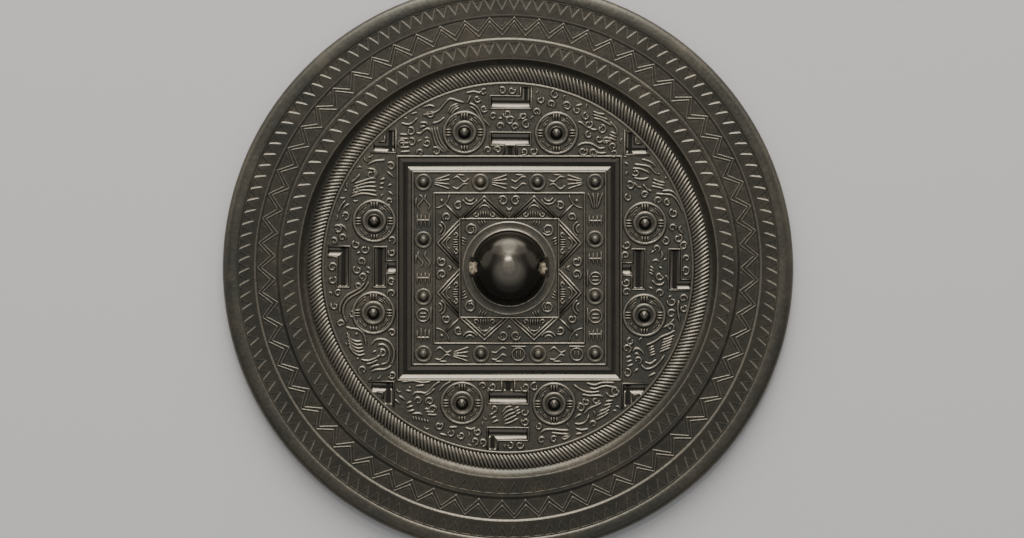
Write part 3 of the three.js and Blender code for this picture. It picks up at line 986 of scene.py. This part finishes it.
stroke((-48, -29.8), (-46, -30.3), (-43.5, -29.6), (-41.5, -28.3))
stroke((-46.6, -31.4), (-44.4, -31), (-42.4, -30))
stroke((-44.6, -27.8), (-42.8, -26.9))
dot(-49.4, -21.6, size=0.7)
dot(-49, -29.6)
cloud_curls(
    (-38, -4.3), (-38, -8.5), (-55.4, -8.2), (-56.6, -12.4), (-51, -15.2), (-37.9, -21.2), (-37.8, -35),
    (-47.4, -33.4), (-54.6, -18.2), (-41, -27.8),
)

# Lower side, left of the T and L
stroke((-35, -37.2), (-33, -37), (-31, -36.8), (-28, -37.4), (-25, -37))
stroke(
    (-31.3, -41.8), (-30.3, -40.7), (-28.5, -40.6), (-27, -40.9), (-25.5, -39.8), (-24, -38.2), (-22, -37)
)
stroke((-27.4, -41.8), (-25.6, -40.9), (-23.8, -39.2))
stroke((-22.6, -40.4), (-21, -38.4), (-18.4, -36.9))
feathers(((-35.6, -41.6), (-33.3, -43.2)), ((-37, -42.8), (-35, -44.4)), 2)
feathers(((-33.4, -44.4), (-31.3, -43.5)), ((-33, -47), (-30.3, -46.3)), 3)
stroke((-31.5, -47.6), (-29, -47.4), (-27.7, -48.1))
feathers(((-31, -48.2), (-30.6, -49.8)), ((-26.4, -49.4), (-25.8, -50.8)), 6)
stroke((-33.5, -40), (-31.3, -40.2))
feathers(((-30.4, -38.6), (-27, -38.2)), ((-32.6, -38.8), (-31.4, -39.2)), 2)
feathers(((-27.4, -46), (-25.4, -46)), ((-26.6, -47.8), (-23, -48)), 3)
stroke((-14, -52), (-12, -52.7), (-10.5, -52))
stroke((-19.4, -52), (-16.3, -51.9))
stroke((-22.4, -54), (-19.6, -54.8))
cloud_curls(
    (-25.6, -43.6), (-22.5, -51.5), (-18.8, -53.9), (-15.3, -54.7), (-9.9, -53.5), (-10.9, -56.6),
    (-8.2, -38.6), (-5.2, -38.8), (-8.3, -57), (-29.3, -43.4), (-24.6, -46.2),
)

# Between the lower T and L: a feathered figure
feathers(((-6.4, -48.2), (-4.4, -47.2)), ((-5.4, -50.6), (-3, -49.6)), 3)
feathers(((-2, -47.4), (-0.5, -45.5), (1.4, -45.2)), ((-1.4, -51), (1, -50.3), (3.4, -49)), 5)
feathers(((1.6, -46.2), (3.8, -45.2)), ((2.2, -48), (4.2, -47)), 3)
cloud_curls((5.4, -47), (5.6, -50.2), (-4.6, -46), (0.6, -58), (3.9, -57.8))

# Lower side, right of the T and L: a fish and a beast among waves
stroke((25.5, -37.5), (27, -38), (28.5, -38.2), (30, -37.6), (32, -37.4), (35, -37.5))
stroke((26.5, -39.1), (28.3, -39.5), (30, -38.9), (32, -38.5), (34, -38.9), (36, -39.4))
stroke((21.4, -38), (22.7, -39.1), (24.5, -40.1), (27, -40.6), (30, -40.3))
stroke((24, -41.2), (26.5, -41.7), (29.5, -41.6), (31.2, -42))
stroke((32, -40.5), (33.2, -42), (35.5, -41.7))
stroke((21.6, -49.3), (22.7, -48.2), (24, -47.6))
stroke((24.6, -47.8), (26.3, -46), (28.5, -45), (30.5, -44))
stroke((21.6, -50.6), (23, -51), (24.8, -50.5), (26, -49.2), (26.3, -47.8))
feathers(
    ((29.3, -47.3), (30.6, -46.5), (32, -46), (33.6, -44.9)),
    ((28.2, -49.8), (29.9, -49), (31.6, -48.1), (32.8, -47.1)),
    3,
)
stroke((10.4, -54), (11.7, -52.9), (14, -52.6), (17, -52.9), (20, -53))
stroke((14, -53.7), (17, -54.1), (20, -54.2))
stroke((22, -52.3), (24, -52.9), (26.3, -52.4))
stroke((21.8, -54.3), (24.3, -53.9))
feathers(((31.6, -43.6), (34.4, -43.2)), ((31, -45), (34, -44.2)), 2)
stroke((17.5, -55.2), (20, -54.9), (18.3, -56), (17.5, -55.2))
cloud_curls(
    (5.6, -39), (8.7, -38.8), (25.5, -43.7), (9.8, -51.8), (11, -56.3), (15, -55.9), (28.6, -43.2),
    (27.8, -51), (35.2, -40.4), (23.6, -45.6),
)

# Short thin hooks on spots of the field that are still bare
fillers = random.Random(7)
filler_tries = 6000
field_reach, square_clear, boss_clear = 58.9, 1.6, 8.0
taken = {(round(x), round(y)) for x, y, _ in lines["points"]}  # millimetre cells with a line in them
mark_boxes = (
    (-7.5, 7.5, 39.2, 45.2), (-3.0, 3.0, 36.0, 41.0), (-7.6, 7.6, 51.2, 57.0),
    (2.4, 7.6, 51.2, 60.0), (36.5, 46.4, 36.5, 41.6), (36.5, 41.6, 36.5, 46.4),
)


def bare_field(x, y):
    """Whether a spot lies on the field, clear of the square, the bosses and the marks."""
    from_square = max(abs(x - pattern.x), abs(y - pattern.y)) - channel_out
    if math.hypot(x, y) > field_reach or from_square < square_clear:
        return False
    if any((Vector((x, y)) - place.xy).length < boss_clear for place in boss_places):
        return False
    for side in range(4):
        spot = side_matrix(side).inverted() @ Vector((x, y, 0))
        for left, right, low, high in mark_boxes:
            if left < spot.x < right and low < spot.y < high:
                return False
    return True


for _ in range(filler_tries):
    x, y = fillers.uniform(-59, 59), fillers.uniform(-59, 59)
    angle = fillers.uniform(0, 2 * math.pi)
    reach = Vector((math.cos(angle), math.sin(angle))) * fillers.uniform(0.7, 1.1)
    bend = Vector((-reach.y, reach.x)) * fillers.uniform(0.4, 0.8)
    path = smooth([Vector((x, y)) - reach, Vector((x, y)) + bend, Vector((x, y)) + reach], 1.1)
    cells = {(round(a), round(b)) for a, b in path}
    if bare_field(x, y) and not cells & taken:
        ridge(path, 0.75, 0.42, run_out=0.5, worn=0.8)
        taken |= {(i + a, j + b) for i, j in cells for a, b in ((0, 0), (1, 0), (0, 1))}
finish_lines("creatures")


# ---- Dirt in the knob's mouths -------------------
# Pale crumbs of earth and corrosion are caked on the flat ring in both mouths of the cord hole.

crumbs = random.Random(5)
crumb_count = 26
crumb_size = 0.42
dirt_pieces = []
for name, x in (("dirt_left", pattern.x - 11.7), ("dirt_right", pattern.x + 10.7)):
    bpy.ops.mesh.primitive_ico_sphere_add(subdivisions=5, radius=1)
    dirt = bpy.context.object
    dirt.name = name
    centres = []
    for _ in range(crumb_count):
        centres.append(Vector((crumbs.uniform(-1, 1), crumbs.uniform(-1, 1), crumbs.uniform(-0.3, 1))))
    for vertex in dirt.data.vertices:
        out = vertex.co.normalized()
        lump = sum(max(0.0, 1 - (out - c.normalized()).length / crumb_size) ** 2 for c in centres)
        vertex.co = out * (0.74 + 0.2 * lump)
    dirt.data.transform(Matrix.Diagonal((1.75, 2.55, 1.5, 1)))
    dirt.data.transform(Matrix.Translation((x, pattern.y, flat_ring + 0.6)))
    bpy.ops.object.shade_smooth()
    dirt_pieces.append(dirt)


# ---- Finish --------------------------------------
# Old bronze with a thin dark brown-black patina. It is glossier and paler where it has been
# rubbed, and dull with dark and faintly green films in the hollows. The same dark colour is also
# painted shade, darkening recesses and the feet of lines and steps.


def bronze_material():
    material = bpy.data.materials.new("old_bronze")
    material.use_nodes = True
    tree = material.node_tree
    nodes, links = tree.nodes, tree.links
    shader = nodes["Principled BSDF"]
    shader.inputs["Metallic"].default_value = 0.85

    place = nodes.new("ShaderNodeTexCoord")
    wear_and_shade = nodes.new("ShaderNodeAttribute")
    wear_and_shade.attribute_name = "wear_and_shade"

    def noise(scale, detail=4):
        node = nodes.new("ShaderNodeTexNoise")
        node.inputs["Scale"].default_value = scale
        node.inputs["Detail"].default_value = detail
        node.inputs["Roughness"].default_value = 0.6
        links.new(place.outputs["Object"], node.inputs["Vector"])
        return node.outputs["Fac"]

    def spread(value, low, high, to_low=0.0, to_high=1.0):
        node = nodes.new("ShaderNodeMapRange")
        ends = {"From Min": low, "From Max": high, "To Min": to_low, "To Max": to_high}
        for key, number in ends.items():
            node.inputs[key].default_value = number
        links.new(value, node.inputs["Value"])
        return node.outputs["Result"]

    def mix(factor, a, b):
        node = nodes.new("ShaderNodeMix")
        node.data_type = "RGBA"
        for socket, source in ((node.inputs[0], factor), (node.inputs[6], a), (node.inputs[7], b)):
            if isinstance(source, tuple):
                socket.default_value = (*source, 1)
            else:
                links.new(source, socket)
        return node.outputs[2]

    def maths(operation, a, b):
        node = nodes.new("ShaderNodeMath")
        node.operation = operation
        for socket, source in zip(node.inputs, (a, b)):
            if isinstance(source, (int, float)):
                socket.default_value = source
            else:
                links.new(source, socket)
        return node.outputs[0]

    polish = nodes.new("ShaderNodeAttribute")
    polish.attribute_name = "polish"
    polished = polish.outputs["Fac"]
    broad = noise(28, 5)
    patches = noise(95, 5)
    fine = noise(900, 3)
    rub_and_shade = wear_and_shade.outputs["Fac"]
    patina = mix(spread(broad, 0.35, 0.65), (0.118, 0.107, 0.084), (0.08, 0.079, 0.066))
    patina = mix(spread(patches, 0.55, 0.75), patina, (0.14, 0.122, 0.092))
    # The hollow colour, used where wear is low, is partly dark patina and dirt and partly painted shade in
    # recesses and at the feet of lines.
    hollow_dirt_and_shade = mix(spread(patches, 0.4, 0.6), (0.030, 0.027, 0.022), (0.044, 0.038, 0.028))
    colour = mix(spread(rub_and_shade, 0.0, 0.2), hollow_dirt_and_shade, patina)
    worn = maths("MULTIPLY", spread(rub_and_shade, 0.3, 1.0), spread(fine, 0.3, 0.6, 0.65, 1.0))
    colour = mix(worn, colour, (0.27, 0.242, 0.195))
    glossy = mix(worn, (0.036, 0.032, 0.026), (0.29, 0.262, 0.213))
    colour = mix(maths("MULTIPLY", polished, 0.92), colour, glossy)
    colour = mix(spread(fine, 0.35, 0.65, 0.0, 0.38), colour, hollow_dirt_and_shade)
    links.new(colour, shader.inputs["Base Color"])
    rough = maths("SUBTRACT", spread(patches, 0.3, 0.7, 0.35, 0.43), maths("MULTIPLY", worn, 0.06))
    rough = maths("SUBTRACT", rough, maths("MULTIPLY", polished, 0.18))
    links.new(rough, shader.inputs["Roughness"])

    grain = maths("ADD", maths("MULTIPLY", noise(420, 4), 0.7), maths("MULTIPLY", fine, 0.3))
    grain = maths("MULTIPLY", grain, spread(polished, 0.0, 1.0, 1.0, 0.15))
    bump = nodes.new("ShaderNodeBump")
    bump.inputs["Strength"].default_value = 0.6
    bump.inputs["Distance"].default_value = 0.0002
    links.new(grain, bump.inputs["Height"])
    links.new(bump.outputs["Normal"], shader.inputs["Normal"])
    return material


def earth_material():
    material = plain_material("caked_earth", (0.36, 0.29, 0.2), 0.95)
    tree = material.node_tree
    place = tree.nodes.new("ShaderNodeTexCoord")
    grain = tree.nodes.new("ShaderNodeTexNoise")
    grain.inputs["Scale"].default_value = 700
    ramp = tree.nodes.new("ShaderNodeValToRGB")
    ramp.color_ramp.elements[0].position = 0.35
    ramp.color_ramp.elements[0].color = (0.10, 0.085, 0.055, 1)
    ramp.color_ramp.elements[1].position = 0.65
    ramp.color_ramp.elements[1].color = (0.46, 0.38, 0.27, 1)
    tree.links.new(place.outputs["Object"], grain.inputs["Vector"])
    tree.links.new(grain.outputs["Fac"], ramp.inputs["Fac"])
    tree.links.new(ramp.outputs["Color"], tree.nodes["Principled BSDF"].inputs["Base Color"])
    return material


# ---- One casting ---------------------------------
# All of it is one pour of bronze, so it is joined into one piece, shown in place of the imported mirror and
# knob parts, which are hidden.

bpy.ops.object.select_all(action="DESELECT")
for piece in casting:
    piece.select_set(True)
mirror = casting[0]
bpy.context.view_layer.objects.active = mirror
bpy.ops.object.join()
mirror.name = "mirror_casting"
mirror.data.materials.clear()
mirror.data.materials.append(bronze_material())
to_metres = Matrix.Diagonal((0.001, 0.001, 0.001, 1))
mirror.data.transform(to_metres)
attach(mirror, "root")
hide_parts("mirror", "knob")

earth = earth_material()
for dirt in dirt_pieces:
    dirt.data.transform(to_metres)
    dirt.data.materials.append(earth)
    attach(dirt, "root")
